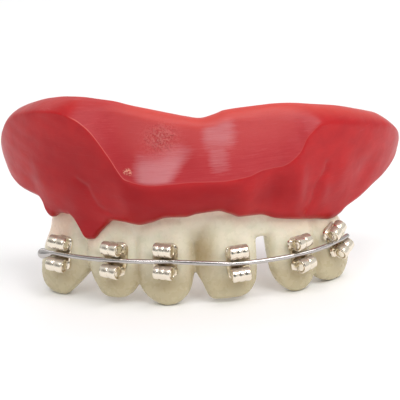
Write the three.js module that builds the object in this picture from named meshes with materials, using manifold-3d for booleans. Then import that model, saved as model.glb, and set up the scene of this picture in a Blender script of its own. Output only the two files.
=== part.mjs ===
// A costume upper denture with braces. A red acrylic gum with two wings and a trough behind it holds a
// fused strip of six teeth, and each tooth carries a metal bracket on one round wire.
// Millimetres, +Z up, and the front faces -Y. It stands on the tips of its teeth, and its origin is on the
// surface under the middle of its box.
import * as THREE from 'three';
import { mergeVertices } from 'three/addons/utils/BufferGeometryUtils.js';
import Module from 'manifold-3d';

const wasm = await Module();
wasm.setup();

// The arch: half an ellipse seen from above, which the faces of the teeth follow
const ARCH_HALF_WIDTH = 27.5;
const ARCH_DEPTH = 22;

// The teeth, with their roots in the gum
const TOOTH_HEIGHT = 14.9; // the resting tips to the tops of the roots
const TOOTH_WIDTH = 8.6;
const TOOTH_DEPTH = 5.8; // front to back at the neck
const ROOT_BAR_HEIGHT = 6; // the bar that joins the six roots
const ROOT_BAR_EDGE = 0.6; // its bevelled lower edges

// The gum
const GUM_RISE = 16.4; // the tops of the roots to the highest point of the gum
const GUM_BULGE = 3.2; // how far it stands out past the faces of the teeth
const GUM_WALL = 2.4;
const LEFT_WING_ANGLE = -78; // where the wings end along the arch, in degrees from the middle
const RIGHT_WING_ANGLE = 79;
const WING_ROUNDING = 14; // degrees over which the end of a wing is rounded

// The trough for the wearer's own teeth, behind the gum's face
const FLOOR_THICKNESS = 1.6;
const TROUGH_WIDTH = 7.4; // from the faces of the teeth to the wall at the back
const BACK_WALL = 2;
const BACK_WALL_RISE = 3.6; // above the floor
const ROOT_GRIP = 2.4; // how far the gum reaches down behind the roots
const FLOOR_FILLET = 1;
const FLOOR_LAP = 0.3; // how far the floor runs into the face
const UNDER_ROUNDING = 1.1; // the lower edge of the wall at the back
const TROUGH_LEFT_ANGLE = -64;
const TROUGH_RIGHT_ANGLE = 61;
const TROUGH_ROUNDING = 8;

// The braces
const WIRE_DIAMETER = 0.72;
const WIRE_LEFT_ANGLE = -57.5;
const WIRE_RIGHT_ANGLE = 50;
const PAD_WIDTH = 3.9;
const PAD_HEIGHT = 5.4;
const PAD_THICKNESS = 0.5;
const PAD_CORNER = 0.6;
const BAR_DIAMETER = 2.1; // the two round bars on each pad
const BAR_LENGTH = 2.8;
const WIRE_PLAY = 0.34; // between the wire and the bars above and below it
const BAR_SEAT = 0.25; // how far a bar is soldered into its pad

const CLEARANCE = 0.3; // between pieces that meet
const WIRE_GAP = 0.38; // between the wire and the front of a pad

// Each tooth, left to right: its place on the arch, its turn, and how far its tip leans out, in degrees.
// A row gives a height, as a share of TOOTH_HEIGHT, and how far the tooth reaches to each side of its
// middle, as shares of TOOTH_WIDTH.
const TEETH = [
  {
    angle: -50.5,
    turn: 6,
    lean: 11,
    outline: [
      { up: 0, left: -0.17, right: 0.15 },
      { up: 0.025, left: -0.29, right: 0.24 },
      { up: 0.08, left: -0.37, right: 0.35 },
      { up: 0.18, left: -0.42, right: 0.48 },
      { up: 0.3, left: -0.44, right: 0.57 },
      { up: 0.46, left: -0.44, right: 0.58 },
      { up: 0.69, left: -0.4, right: 0.49 },
      { up: 1, left: -0.42, right: 0.4 },
    ],
  },
  {
    angle: -30.3,
    turn: 0,
    lean: 9,
    outline: [
      { up: 0.045, left: -0.05, right: 0.21 },
      { up: 0.062, left: -0.13, right: 0.31 },
      { up: 0.11, left: -0.22, right: 0.42 },
      { up: 0.18, left: -0.29, right: 0.5 },
      { up: 0.27, left: -0.37, right: 0.54 },
      { up: 0.52, left: -0.47, right: 0.53 },
      { up: 0.78, left: -0.47, right: 0.49 },
      { up: 1, left: -0.46, right: 0.45 },
    ],
  },
  {
    angle: -11.7,
    turn: 0,
    lean: 8,
    outline: [
      { up: 0, left: -0.11, right: 0.17 },
      { up: 0.026, left: -0.23, right: 0.3 },
      { up: 0.1, left: -0.38, right: 0.39 },
      { up: 0.18, left: -0.45, right: 0.43 },
      { up: 0.3, left: -0.5, right: 0.48 },
      { up: 0.52, left: -0.52, right: 0.51 },
      { up: 0.78, left: -0.48, right: 0.51 },
      { up: 1, left: -0.46, right: 0.49 },
    ],
  },
  {
    angle: 7.9,
    turn: 0,
    lean: 8,
    outline: [
      { up: 0.026, left: -0.28, right: 0.21 },
      { up: 0.052, left: -0.33, right: 0.32 },
      { up: 0.118, left: -0.38, right: 0.41 },
      { up: 0.2, left: -0.43, right: 0.47 },
      { up: 0.32, left: -0.52, right: 0.49 },
      { up: 0.52, left: -0.53, right: 0.5 },
      { up: 0.78, left: -0.5, right: 0.52 },
      { up: 1, left: -0.48, right: 0.52 },
    ],
  },
  {
    angle: 28.5,
    turn: 0,
    lean: 9,
    outline: [
      { up: 0, left: 0.01, right: 0.19 },
      { up: 0.02, left: -0.07, right: 0.27 },
      { up: 0.09, left: -0.22, right: 0.39 },
      { up: 0.17, left: -0.3, right: 0.45 },
      { up: 0.26, left: -0.35, right: 0.47 },
      { up: 0.42, left: -0.39, right: 0.5 },
      { up: 0.59, left: -0.44, right: 0.55 },
      { up: 0.8, left: -0.48, right: 0.58 },
      { up: 1, left: -0.46, right: 0.56 },
    ],
  },
  {
    angle: 47.6,
    turn: 0,
    lean: 8,
    outline: [
      { up: 0, left: -0.23, right: 0.03 },
      { up: 0.02, left: -0.37, right: 0.12 },
      { up: 0.072, left: -0.5, right: 0.21 },
      { up: 0.144, left: -0.56, right: 0.28 },
      { up: 0.26, left: -0.58, right: 0.32 },
      { up: 0.52, left: -0.53, right: 0.34 },
      { up: 0.78, left: -0.46, right: 0.33 },
      { up: 1, left: -0.4, right: 0.33 },
    ],
  },
];
const LEAN_PIVOT = 0.6; // the height, as a share of TOOTH_HEIGHT, that a leaning tooth turns about

// The front and back of every tooth, as shares of TOOTH_DEPTH out from the arch
const TOOTH_SECTION = [
  { up: 0, front: -0.22, back: -0.43 },
  { up: 0.026, front: -0.15, back: -0.52 },
  { up: 0.1, front: -0.08, back: -0.62 },
  { up: 0.2, front: -0.025, back: -0.71 },
  { up: 0.33, front: 0, back: -0.81 },
  { up: 0.52, front: 0.01, back: -0.91 },
  { up: 0.72, front: -0.03, back: -0.98 },
  { up: 0.85, front: -0.08, back: -1 },
  { up: 1, front: -0.15, back: -0.97 },
];
const TOOTH_SQUARENESS = 2.6; // the power of the superellipse that a cut through a tooth follows
const ROOT_BAR_FRONT = -0.21; // as shares of TOOTH_DEPTH too
const ROOT_BAR_BACK = -0.95;

// The lower edge of the gum, as shares of TOOTH_HEIGHT, from the left wing's end to the right wing's
const GUM_LINE = [
  { angle: -78, low: 1.04 },
  { angle: -70, low: 1.01 },
  { angle: -60, low: 1.02 },
  { angle: -56.5, low: 1.01 },
  { angle: -54.2, low: 0.95 },
  { angle: -52.9, low: 0.84 },
  { angle: -51.4, low: 0.795 },
  { angle: -49.2, low: 0.86 },
  { angle: -46, low: 0.91 },
  { angle: -43.5, low: 0.91 },
  { angle: -41.5, low: 0.86 },
  { angle: -39, low: 0.75 },
  { angle: -36.8, low: 0.66 },
  { angle: -34.6, low: 0.68 },
  { angle: -32, low: 0.77 },
  { angle: -29.5, low: 0.85 },
  { angle: -27, low: 0.9 },
  { angle: -23.4, low: 0.89 },
  { angle: -18.5, low: 0.86 },
  { angle: -14.6, low: 0.89 },
  { angle: -9.5, low: 0.95 },
  { angle: -4, low: 0.945 },
  { angle: -0.5, low: 0.98 },
  { angle: 5.8, low: 0.995 },
  { angle: 9.2, low: 0.955 },
  { angle: 12.5, low: 0.907 },
  { angle: 18.3, low: 0.908 },
  { angle: 24, low: 0.833 },
  { angle: 31.4, low: 0.775 },
  { angle: 37, low: 0.742 },
  { angle: 46.1, low: 0.68 },
  { angle: 48.5, low: 0.7 },
  { angle: 51, low: 0.75 },
  { angle: 57, low: 0.8 },
  { angle: 65, low: 0.86 },
  { angle: 72, low: 0.9 },
  { angle: 79, low: 0.92 },
];

// The face of the gum above its lower edge. The crease, where the ground panel starts, and the top are
// shares of GUM_RISE above the roots. How far the gum stands out at the crease, the top and the lower edge
// is in the columns bulge, rim and lip, as shares of GUM_BULGE.
const GUM_FACE = [
  { angle: -78, crease: 0.55, top: 0.65, bulge: 0.75, rim: 0.55, lip: 0.65 },
  { angle: -71, crease: 0.65, top: 0.735, bulge: 0.8, rim: 0.5, lip: 0.5 },
  { angle: -64, crease: 0.73, top: 0.82, bulge: 0.85, rim: 0.45, lip: 0.38 },
  { angle: -56, crease: 0.8, top: 0.89, bulge: 0.9, rim: 0.4, lip: 0.24 },
  { angle: -48, crease: 0.85, top: 0.955, bulge: 0.95, rim: 0.35, lip: 0.18 },
  { angle: -40, crease: 0.87, top: 0.995, bulge: 1, rim: 0.3, lip: 0.16 },
  { angle: -34.6, crease: 0.83, top: 1, bulge: 1, rim: 0.25, lip: 0.16 },
  { angle: -29.9, crease: 0.745, top: 0.99, bulge: 1, rim: 0.2, lip: 0.16 },
  { angle: -24.3, crease: 0.5, top: 0.97, bulge: 1, rim: 0.12, lip: 0.16 },
  { angle: -19.6, crease: 0.33, top: 0.94, bulge: 1, rim: 0.1, lip: 0.16 },
  { angle: -12.6, crease: 0.3, top: 0.9, bulge: 1.03, rim: 0.1, lip: 0.16 },
  { angle: -6.6, crease: 0.31, top: 0.86, bulge: 1, rim: 0.1, lip: 0.16 },
  { angle: -2.3, crease: 0.32, top: 0.83, bulge: 0.98, rim: 0.1, lip: 0.16 },
  { angle: 2.3, crease: 0.32, top: 0.805, bulge: 0.96, rim: 0.1, lip: 0.16 },
  { angle: 6.7, crease: 0.29, top: 0.83, bulge: 0.98, rim: 0.1, lip: 0.16 },
  { angle: 9.8, crease: 0.3, top: 0.86, bulge: 1, rim: 0.12, lip: 0.16 },
  { angle: 14.4, crease: 0.32, top: 0.868, bulge: 1.03, rim: 0.15, lip: 0.16 },
  { angle: 19, crease: 0.35, top: 0.87, bulge: 0.95, rim: 0.2, lip: 0.16 },
  { angle: 24, crease: 0.34, top: 0.868, bulge: 0.93, rim: 0.25, lip: 0.16 },
  { angle: 29.6, crease: 0.46, top: 0.852, bulge: 1.05, rim: 0.3, lip: 0.16 },
  { angle: 33, crease: 0.6, top: 0.835, bulge: 1.05, rim: 0.35, lip: 0.16 },
  { angle: 38, crease: 0.68, top: 0.8, bulge: 1.05, rim: 0.45, lip: 0.16 },
  { angle: 47, crease: 0.63, top: 0.735, bulge: 1.1, rim: 0.6, lip: 0.18 },
  { angle: 57, crease: 0.54, top: 0.645, bulge: 1.15, rim: 0.75, lip: 0.45 },
  { angle: 69, crease: 0.44, top: 0.53, bulge: 1.22, rim: 0.9, lip: 0.8 },
  { angle: 79, crease: 0.35, top: 0.43, bulge: 1.28, rim: 1, lip: 1.28 },
];
const LEFT_WING_UP = 0.35; // the heights of the wings' ends, as shares of GUM_RISE above the roots
const RIGHT_WING_UP = 0.19;

// The wire's height as a share of TOOTH_HEIGHT
const WIRE = [
  { angle: -58, up: 0.452 },
  { angle: -54, up: 0.457 },
  { angle: -46.6, up: 0.495 },
  { angle: -27.1, up: 0.502 },
  { angle: -11, up: 0.503 },
  { angle: 0, up: 0.48 },
  { angle: 10.9, up: 0.447 },
  { angle: 31, up: 0.437 },
  { angle: 45.1, up: 0.45 },
  { angle: 50, up: 0.463 },
];
// Each bracket, left to right: its place, its turn about the upright, and its tilt on the tooth, in degrees
const BRACKETS = [
  { angle: -46.6, turn: 0, tilt: -5 },
  { angle: -27.1, turn: 0, tilt: 0 },
  { angle: -11, turn: -2, tilt: 0 },
  { angle: 10.9, turn: 2, tilt: 1 },
  { angle: 31, turn: 0, tilt: 4 },
  { angle: 45.1, turn: 0, tilt: 13 },
];

// Working values
const WIRE_TO_PAD = WIRE_DIAMETER / 2 + WIRE_GAP; // from the wire's middle back to the front of a pad
const BAR_SPACING = BAR_DIAMETER + WIRE_DIAMETER + 2 * WIRE_PLAY; // between the axes of two bars
const WIRE_OUT = WIRE_TO_PAD + PAD_THICKNESS + CLEARANCE; // from the face of a tooth to the wire's middle
const BAR_AHEAD = BAR_DIAMETER / 2 - BAR_SEAT - WIRE_TO_PAD; // the bars' axes, ahead of the wire's
const FLOOR_UP = TOOTH_HEIGHT + CLEARANCE + FLOOR_THICKNESS;
const LEAST_STEP = 0.01; // between the rings of the gum where it runs out

const red = { color: 0xb62a32, roughness: 0.3, metalness: 0 };
const ivory = { color: 0xcfc4a4, roughness: 0.25, metalness: 0 };
const silver = { color: 0xd8d4d2, roughness: 0.15, metalness: 1 };
const steel = { color: 0xa8a4ac, roughness: 0.35, metalness: 1 };

// Reads a column of a table at a value of its key column, on a smooth curve that never overshoots its rows
function readTable(table, key, column, at) {
  const last = table.length - 1;
  if (at <= table[0][key]) return table[0][column];
  if (at >= table[last][key]) return table[last][column];
  const row = table.findIndex((entry) => entry[key] > at) - 1;
  const span = (k) => table[k + 1][key] - table[k][key];
  const slope = (k) => (table[k + 1][column] - table[k][column]) / span(k);
  const tangent = (k) => {
    if (k === 0 || k === last) return slope(Math.min(k, last - 1));
    const before = slope(k - 1);
    const after = slope(k);
    return before * after > 0 ? (2 * before * after) / (before + after) : 0;
  };
  const s = (at - table[row][key]) / span(row);
  const rise = table[row + 1][column] - table[row][column];
  const bend = (1 - s) * (span(row) * tangent(row) - rise) - s * (span(row) * tangent(row + 1) - rise);
  return table[row][column] + s * rise + s * (1 - s) * bend;
}

// The outward direction of the arch at an angle, seen from above
function archNormal(angle) {
  const t = THREE.MathUtils.degToRad(angle);
  return new THREE.Vector3(ARCH_DEPTH * Math.sin(t), -ARCH_HALF_WIDTH * Math.cos(t), 0).normalize();
}

// The point of the arch at an angle, moved out from it and up
function archPoint(angle, out, up) {
  const t = THREE.MathUtils.degToRad(angle);
  const point = new THREE.Vector3(ARCH_HALF_WIDTH * Math.sin(t), ARCH_DEPTH * (1 - Math.cos(t)), up);
  return point.addScaledVector(archNormal(angle), out);
}

// Places a piece that is modelled with x along the arch, y inwards and z up
function archFrame(angle, turn, out, up) {
  const inwards = archNormal(angle).negate();
  inwards.applyAxisAngle(new THREE.Vector3(0, 0, 1), THREE.MathUtils.degToRad(turn));
  const along = new THREE.Vector3(inwards.y, -inwards.x, 0);
  const frame = new THREE.Matrix4().makeBasis(along, inwards, new THREE.Vector3(0, 0, 1));
  return frame.setPosition(archPoint(angle, out, up));
}

// How far a leaning tooth has moved out at a height
function leanOut(tooth, up) {
  return Math.tan(THREE.MathUtils.degToRad(tooth.lean)) * (LEAN_PIVOT * TOOTH_HEIGHT - up);
}

// Six times the volume that a merged geometry encloses, below zero where its faces point inwards
function signedVolume(geometry) {
  const { position } = geometry.attributes;
  const corner = (k) => new THREE.Vector3().fromBufferAttribute(position, geometry.index.getX(k));
  let sum = 0;
  for (let k = 0; k < geometry.index.count; k += 3) {
    sum += corner(k).dot(corner(k + 1).cross(corner(k + 2)));
  }
  return sum;
}

// Turns a closed geometry into a solid that can be cut and joined, with its faces pointing out
function toSolid(geometry) {
  const bare = geometry.clone();
  bare.deleteAttribute('normal');
  bare.deleteAttribute('uv');
  const merged = mergeVertices(bare, 1e-4);
  const triVerts = new Uint32Array(merged.index.array);
  if (signedVolume(merged) < 0) triVerts.reverse();
  const vertProperties = merged.attributes.position.array;
  return new wasm.Manifold(new wasm.Mesh({ numProp: 3, vertProperties, triVerts }));
}

function toGeometry(solid) {
  const mesh = solid.getMesh();
  const geometry = new THREE.BufferGeometry();
  geometry.setAttribute('position', new THREE.BufferAttribute(mesh.vertProperties, 3));
  geometry.setIndex(new THREE.BufferAttribute(mesh.triVerts, 1));
  geometry.computeVertexNormals();
  return geometry;
}

// A closed body through rings of points, each with the same number of points, closed by a fan at each end
function ringBody(rings) {
  const count = rings[0].length;
  const centre = (ring) => ring.reduce((sum, p) => sum.add(p), new THREE.Vector3()).divideScalar(count);
  const points = [...rings.flat(), centre(rings[0]), centre(rings[rings.length - 1])];
  const startCentre = points.length - 2;
  const endCentre = points.length - 1;
  const lastRing = (rings.length - 1) * count;
  const index = [];
  for (let k = 0; k < count; k += 1) {
    const next = (k + 1) % count;
    index.push(startCentre, next, k, endCentre, lastRing + k, lastRing + next);
    for (let r = 0; r < rings.length - 1; r += 1) {
      const [a, b, c, d] = [r * count + k, r * count + next, (r + 1) * count + k, (r + 1) * count + next];
      index.push(a, b, d, a, d, c);
    }
  }
  const geometry = new THREE.BufferGeometry().setFromPoints(points);
  geometry.setIndex(index);
  return geometry;
}

// One tooth: superellipses stacked from its tip to its root, made larger all round by grow
function toothBody(tooth, grow) {
  const pointsRound = 16;
  const tip = tooth.outline[0].up;
  const frame = archFrame(tooth.angle, tooth.turn, 0, 0);
  const heights = tooth.outline.map((row) => row.up);
  const rings = heights.map((share, level) => {
    const sectionAt = (share - tip) / (1 - tip);
    const left = readTable(tooth.outline, 'up', 'left', share) * TOOTH_WIDTH - grow;
    const right = readTable(tooth.outline, 'up', 'right', share) * TOOTH_WIDTH + grow;
    const front = readTable(TOOTH_SECTION, 'up', 'front', sectionAt) * TOOTH_DEPTH + grow;
    const back = readTable(TOOTH_SECTION, 'up', 'back', sectionAt) * TOOTH_DEPTH - grow;
    const ends = (level === heights.length - 1 ? grow : 0) - (level === 0 ? grow : 0);
    return Array.from({ length: pointsRound }, (_, k) => {
      const turn = (2 * Math.PI * k) / pointsRound;
      const across = Math.sign(Math.cos(turn)) * Math.abs(Math.cos(turn)) ** (2 / TOOTH_SQUARENESS);
      const deep = Math.sign(Math.sin(turn)) * Math.abs(Math.sin(turn)) ** (2 / TOOTH_SQUARENESS);
      const x = (left + right) / 2 + ((right - left) / 2) * across;
      const y = -(front + back) / 2 + ((front - back) / 2) * deep - leanOut(tooth, share * TOOTH_HEIGHT);
      return new THREE.Vector3(x, y, share * TOOTH_HEIGHT + ends).applyMatrix4(frame);
    });
  });
  return toSolid(ringBody(rings));
}

// The bar along the arch that joins the roots
function rootBar(grow) {
  const reach = THREE.MathUtils.radToDeg(grow / ARCH_DEPTH);
  const [first, last] = [TEETH[0].angle - reach, TEETH[TEETH.length - 1].angle + reach];
  const steps = 16;
  const front = ROOT_BAR_FRONT * TOOTH_DEPTH + grow;
  const back = ROOT_BAR_BACK * TOOTH_DEPTH - grow;
  const [low, high] = [TOOTH_HEIGHT - ROOT_BAR_HEIGHT - grow, TOOTH_HEIGHT + grow];
  const edge = ROOT_BAR_EDGE;
  const section = [
    [front, low + edge],
    [front, high],
    [back, high],
    [back, low + edge],
    [back + edge, low],
    [front - edge, low],
  ];
  const rings = Array.from({ length: steps + 1 }, (_, k) => {
    const angle = first + ((last - first) * k) / steps;
    return section.map(([out, up]) => archPoint(angle, out, up));
  });
  return toSolid(ringBody(rings));
}

function toothStrip(grow) {
  return TEETH.reduce((strip, tooth) => strip.add(toothBody(tooth, grow)), rootBar(grow));
}

// How round the end of a wing or of the trough is at an angle: 1 away from the ends and 0 at them
function endRounding(angle, left, right, range) {
  const past = Math.max(left + range - angle, angle - (right - range), 0) / range;
  return Math.sqrt(Math.max(1 - past * past, 0));
}

// Angles from one end to the other, closer together where the ends are rounded
function stations(left, right, range, steps) {
  const nearEnd = [0.985, 0.93, 0.8, 0.6, 0.3];
  const start = nearEnd.map((s) => left + range * (1 - s));
  const end = nearEnd.toReversed().map((s) => right - range * (1 - s));
  const step = (right - left - 2 * range) / steps;
  return [...start, ...Array.from({ length: steps + 1 }, (_, k) => left + range + step * k), ...end];
}

// The front wall of the gum, wings and all: a section with rounded edges, carried along the arch
function gumWall() {
  const rings = stations(LEFT_WING_ANGLE, RIGHT_WING_ANGLE, WING_ROUNDING, 42).map((angle) => {
    const rounding = endRounding(angle, LEFT_WING_ANGLE, RIGHT_WING_ANGLE, WING_ROUNDING);
    const wingUp = TOOTH_HEIGHT + GUM_RISE * (angle < 0 ? LEFT_WING_UP : RIGHT_WING_UP);
    const drawIn = (up) => wingUp + (up - wingUp) * rounding;
    const low = drawIn(TOOTH_HEIGHT * readTable(GUM_LINE, 'angle', 'low', angle));
    const crease = drawIn(TOOTH_HEIGHT + GUM_RISE * readTable(GUM_FACE, 'angle', 'crease', angle));
    const top = drawIn(TOOTH_HEIGHT + GUM_RISE * readTable(GUM_FACE, 'angle', 'top', angle));
    const bulge = GUM_BULGE * readTable(GUM_FACE, 'angle', 'bulge', angle);
    const rim = GUM_BULGE * readTable(GUM_FACE, 'angle', 'rim', angle);
    const lip = GUM_BULGE * readTable(GUM_FACE, 'angle', 'lip', angle);
    const wall = GUM_WALL * Math.sqrt(rounding);
    const radius = Math.min(wall / 2, (top - low) / 2.2);
    const face = (up) => (up < crease
      ? lip + (bulge - lip) * Math.sin((Math.PI / 2) * ((up - low) / (crease - low)))
      : bulge + ((rim - bulge) * (up - crease)) / (top - crease));
    const inset = (up) => {
      const past = Math.max(1 - Math.min(up - low, top - up) / radius, 0);
      return (wall / 2) * (1 - Math.sqrt(1 - past * past));
    };
    const between = (a, b, s) => a + (b - a) * s;
    const edge = [0, 0.3, 1].map((share) => share * radius);
    const foot = low + radius;
    const ridge = Math.max(crease, foot + LEAST_STEP);
    const brow = Math.max(top - radius, ridge + LEAST_STEP);
    const heights = [
      ...edge.map((rise) => low + rise),
      between(foot, ridge, 0.35),
      between(foot, ridge, 0.7),
      ridge,
      between(ridge, brow, 0.5),
      brow,
      ...edge.slice(0, -1).toReversed().map((drop) => top - drop),
    ];
    const middle = (up) => face(up) - GUM_WALL / 2;
    const outer = heights.map((up) => archPoint(angle, middle(up) + wall / 2 - inset(up), up));
    const inner = heights.slice(1, -1).map((up) => archPoint(angle, middle(up) - wall / 2 + inset(up), up));
    return [...outer, ...inner.toReversed()];
  });
  return toSolid(ringBody(rings));
}

// Points on a round edge of a section, from one direction to another, in degrees above straight out
function roundEdge(out, up, radius, from, to, steps) {
  return Array.from({ length: steps + 1 }, (_, k) => {
    const t = THREE.MathUtils.degToRad(from + ((to - from) * k) / steps);
    return [out + radius * Math.cos(t), up + radius * Math.sin(t)];
  });
}

// The floor over the roots and the low wall behind it
function trough() {
  const inner = -TROUGH_WIDTH;
  const outer = -TROUGH_WIDTH - BACK_WALL;
  const under = TOOTH_HEIGHT - ROOT_GRIP;
  const wallTop = FLOOR_UP + BACK_WALL_RISE;
  const half = BACK_WALL / 2;
  const [pivotOut, pivotUp] = [-0.5, FLOOR_UP - FLOOR_THICKNESS / 2]; // what its rounded ends close in on
  const rings = stations(TROUGH_LEFT_ANGLE, TROUGH_RIGHT_ANGLE, TROUGH_ROUNDING, 18).map((angle) => {
    const rounding = endRounding(angle, TROUGH_LEFT_ANGLE, TROUGH_RIGHT_ANGLE, TROUGH_ROUNDING);
    const section = [
      [FLOOR_LAP, FLOOR_UP - FLOOR_THICKNESS / 2],
      [FLOOR_LAP, FLOOR_UP],
      [inner + FLOOR_FILLET, FLOOR_UP],
      [inner, FLOOR_UP + FLOOR_FILLET],
      ...roundEdge(inner - half, wallTop - half, half, 0, 180, 4),
      ...roundEdge(outer + UNDER_ROUNDING, under + UNDER_ROUNDING, UNDER_ROUNDING, 180, 270, 2),
      [-TOOTH_DEPTH / 2, under],
      [ROOT_BAR_FRONT * TOOTH_DEPTH, TOOTH_HEIGHT],
    ];
      return section.map(([out, up]) => archPoint(
      angle,
      pivotOut + (out - pivotOut) * rounding,
      pivotUp + (up - pivotUp) * rounding,
    ));
  });
  return toSolid(ringBody(rings));
}

// A round bar with domed ends and a shallow groove round its middle, lying along x
function roundBar() {
  const half = BAR_LENGTH / 2;
  const radius = BAR_DIAMETER / 2;
  const side = [
    new THREE.Vector2(0, half),
    new THREE.Vector2(radius * 0.7, half * 0.95),
    new THREE.Vector2(radius, half * 0.7),
    new THREE.Vector2(radius, half * 0.3),
    new THREE.Vector2(radius * 0.88, 0),
  ];
  const profile = [...side, ...side.slice(0, -1).toReversed().map((p) => new THREE.Vector2(p.x, -p.y))];
  return new THREE.LatheGeometry(profile, 10).rotateZ(Math.PI / 2);
}

// The pad, from inside the tooth to its own front, before the tooth is cut from it
function pad() {
  const [half, high, corner] = [PAD_WIDTH / 2, PAD_HEIGHT / 2, PAD_CORNER];
  const shape = new THREE.Shape();
  shape.moveTo(half, corner - high);
  shape.absarc(half - corner, high - corner, corner, 0, Math.PI / 2);
  shape.absarc(corner - half, high - corner, corner, Math.PI / 2, Math.PI);
  shape.absarc(corner - half, corner - high, corner, Math.PI, 1.5 * Math.PI);
  shape.absarc(half - corner, corner - high, corner, 1.5 * Math.PI, 2 * Math.PI);
  const deep = WIRE_OUT + TOOTH_DEPTH / 4;
  const depth = deep - WIRE_TO_PAD;
  const geometry = new THREE.ExtrudeGeometry(shape, { depth, bevelEnabled: false, curveSegments: 3 });
  return geometry.translate(0, 0, -deep).rotateX(Math.PI / 2);
}

// The tooth nearest to an angle of the arch
function toothAt(angle) {
  const away = (tooth) => Math.abs(tooth.angle - angle);
  return TEETH.reduce((near, tooth) => (away(tooth) < away(near) ? tooth : near));
}

// How far out and how high the wire's middle is where a bracket holds it
function wireAt(place) {
  const up = TOOTH_HEIGHT * readTable(WIRE, 'angle', 'up', place.angle);
  return { angle: place.angle, up, out: WIRE_OUT + leanOut(toothAt(place.angle), up) };
}

// Two bars soldered to a pad, modelled about the wire's middle and leaning as its tooth does
function bracket(place, tooth) {
  const { up, out } = wireAt(place);
  const lean = new THREE.Matrix4().makeRotationX(-THREE.MathUtils.degToRad(toothAt(place.angle).lean));
  const tilt = new THREE.Matrix4().makeRotationY(-THREE.MathUtils.degToRad(place.tilt));
  const frame = archFrame(place.angle, place.turn, out, up).multiply(lean).multiply(tilt);
  const bars = [-1, 1].map((side) => toSolid(
    roundBar().translate(0, -BAR_AHEAD, (side * BAR_SPACING) / 2).applyMatrix4(frame),
  ));
  return toSolid(pad().applyMatrix4(frame)).add(bars[0]).add(bars[1]).subtract(tooth);
}

// The wire's middle line, between the bars of each bracket
class WireRoute extends THREE.Curve {
  getPoint(share, target = new THREE.Vector3()) {
    const angle = WIRE_LEFT_ANGLE + (WIRE_RIGHT_ANGLE - WIRE_LEFT_ANGLE) * share;
    const out = readTable(BRACKETS.map(wireAt), 'angle', 'out', angle);
    return target.copy(archPoint(angle, out, TOOTH_HEIGHT * readTable(WIRE, 'angle', 'up', angle)));
  }
}

function archwire() {
  const circle = new THREE.Shape().absarc(0, 0, WIRE_DIAMETER / 2, 0, 2 * Math.PI);
  const route = { steps: 44, curveSegments: 4, extrudePath: new WireRoute(), bevelEnabled: false };
  return new THREE.ExtrudeGeometry(circle, route);
}

function addMesh(group, name, geometry, finish) {
  const mesh = new THREE.Mesh(geometry, new THREE.MeshStandardMaterial(finish));
  mesh.name = name;
  group.add(mesh);
}

const strip = toothStrip(0);
const stripSpace = toothStrip(CLEARANCE);

const denture = new THREE.Group();
addMesh(denture, 'gum_base', toGeometry(gumWall().add(trough()).subtract(stripSpace)), red);
addMesh(denture, 'tooth_strip', toGeometry(strip), ivory);
BRACKETS.forEach((place, k) => {
  addMesh(denture, `bracket_${k + 1}`, toGeometry(bracket(place, stripSpace)), silver);
});
addMesh(denture, 'archwire', archwire(), steel);

// The origin goes under the middle of the box
const box = new THREE.Box3().setFromObject(denture);
const middle = box.getCenter(new THREE.Vector3());
denture.position.set(-middle.x, -middle.y, -box.min.z);

export default denture;
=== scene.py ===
"""Looks of a costume upper denture with braces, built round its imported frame.

Every shape is worked out in millimetres in the arch's own frame: x to the right, y into the mouth, z up,
with the front of the arch over the origin and the tips of the teeth at z = 0. A place is given by an
angle along the arch, how far out from the arch it lies, and its height.
"""
import bpy
import numpy as np
from mathutils import Matrix


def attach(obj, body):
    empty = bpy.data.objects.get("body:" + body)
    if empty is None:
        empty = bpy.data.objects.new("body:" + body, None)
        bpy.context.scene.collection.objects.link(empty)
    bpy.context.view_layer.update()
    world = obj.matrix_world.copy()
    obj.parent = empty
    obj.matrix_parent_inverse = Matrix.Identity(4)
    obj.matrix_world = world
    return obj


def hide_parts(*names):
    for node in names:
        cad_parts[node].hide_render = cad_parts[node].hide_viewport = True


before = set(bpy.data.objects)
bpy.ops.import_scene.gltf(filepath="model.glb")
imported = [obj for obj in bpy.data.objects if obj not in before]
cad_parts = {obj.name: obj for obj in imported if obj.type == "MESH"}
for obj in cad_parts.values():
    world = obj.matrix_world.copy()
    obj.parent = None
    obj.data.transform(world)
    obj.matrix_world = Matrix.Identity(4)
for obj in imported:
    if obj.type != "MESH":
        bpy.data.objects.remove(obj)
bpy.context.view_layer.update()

MM = 0.001

# The arch: half an ellipse seen from above, which the faces of the teeth follow
ARCH_HALF_WIDTH = 27.5
ARCH_DEPTH = 22.0

# The teeth
TOOTH_HEIGHT = 14.9
TOOTH_WIDTH = 8.6
TOOTH_DEPTH = 5.8
TOOTH_SQUARENESS = 2.6
LEAN_PIVOT = 0.6
ROOT_BAR_HEIGHT = 6.0
ROOT_BAR_FRONT = -0.21
ROOT_BAR_BACK = -0.95
ROOT_BAR_EDGE = 0.6
STRIP_VOXEL = 0.19
STRIP_SMOOTHING = 14
TOOTH_RINGS = 70
TOOTH_POINTS = 72

# The gum
GUM_RISE = 16.4
GUM_BULGE = 3.2
GUM_WALL = 2.4
WINGS = (-78.5, 79.6, 14.0)  # the angles of the tips, and how far before them the wings round off
LEFT_WING_UP = 0.285
RIGHT_WING_UP = 0.19
FLOOR_THICKNESS = 1.6
TROUGH_WIDTH = 7.4
BACK_WALL = 2.0
BACK_WALL_RISE = 3.6
ROOT_GRIP = 2.4
FLOOR_FILLET = 1.0
FLOOR_LAP = 0.3
UNDER_ROUNDING = 1.1
TROUGH = (-64.0, 61.0, 8.0)  # its ends, in the same way
CLEARANCE = 0.3
GUM_STATIONS = 496
WING_END_STATIONS = 24
FACE_POINTS = 98
BACK_POINTS = 30
TROUGH_STATIONS = 150
TROUGH_END_STATIONS = 14
RIPPLE = 0.035
FINE_RIPPLE = 0.02
FLOOR_UP = TOOTH_HEIGHT + CLEARANCE + FLOOR_THICKNESS

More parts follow.
